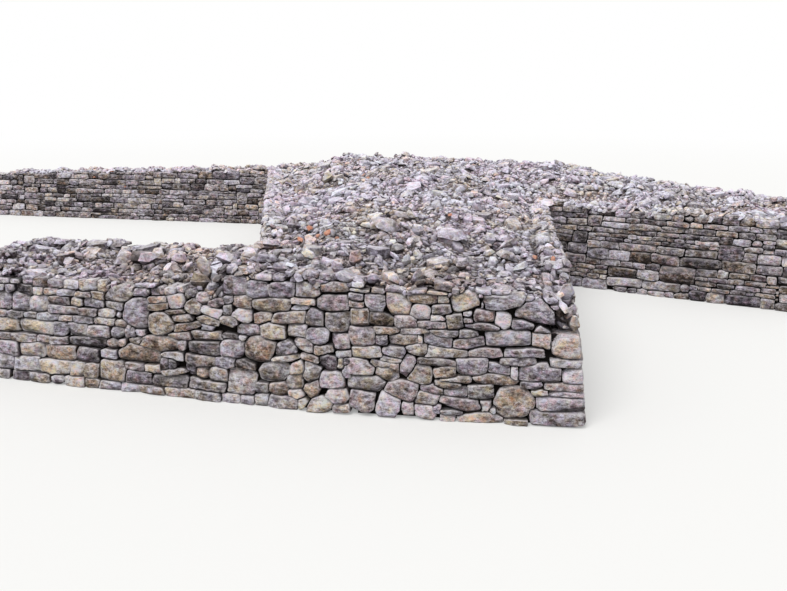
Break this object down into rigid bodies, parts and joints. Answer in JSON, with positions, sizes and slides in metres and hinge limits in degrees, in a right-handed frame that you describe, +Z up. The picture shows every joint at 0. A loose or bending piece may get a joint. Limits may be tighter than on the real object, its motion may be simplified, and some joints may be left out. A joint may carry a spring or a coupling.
{
  "type": "dry stone wall",
  "caption": "Broad free-standing dry stone wall with a rubble crown, a slumped corner, a left arm, a long rear arm and a splayed right wing.",
  "frame": {"origin": "ground level on the line of the front face, at its straight joint", "axes": "+X along the front face to the slumped corner, +Y back along the bank, +Z up"},
  "size_m": [22.4492, 15.96, 2.1943],
  "materials": {
    "face_stone": "weathered limestone, rough, with lichen",
    "corner_stone": "weathered limestone blocks, roughly squared",
    "hearting": "packed small stone",
    "rubble": "loose broken limestone, pale, with a few red clay fragments"
  },
  "bodies": {
    "root": {"front_footing": "corner_stone", "front_face_right": "face_stone", "front_face_left": "face_stone", "corner_headers": "corner_stone", "corner_stretchers": "corner_stone", "arm_front_face": "face_stone", "arm_end_face": "face_stone", "arm_back_face": "face_stone", "side_face_near": "face_stone", "side_face_middle": "face_stone", "side_face_far": "face_stone", "wing_face_near": "face_stone", "wing_face_far": "face_stone", "wing_end_face": "face_stone", "wing_back_near": "face_stone", "wing_back_far": "face_stone", "rear_face_right": "face_stone", "rear_face_middle": "face_stone", "rear_face_left": "face_stone", "rear_arm_back_near": "face_stone", "rear_arm_back_far": "face_stone", "rear_arm_end_face": "face_stone", "rear_arm_front_far": "face_stone", "rear_arm_front_near": "face_stone", "flank_face_far": "face_stone", "flank_face_middle": "face_stone", "flank_face_near": "face_stone", "hearting_near": "hearting", "hearting_middle": "hearting", "hearting_far": "hearting", "hearting_rear": "hearting", "arm_hearting": "hearting", "wing_hearting": "hearting", "rear_arm_hearting": "hearting", "crown_near": "rubble", "crown_middle": "rubble", "crown_far": "rubble", "crown_rear": "rubble", "arm_crown": "rubble", "wing_crown": "rubble", "rear_arm_crown": "rubble"}
  },
  "joints": []
}
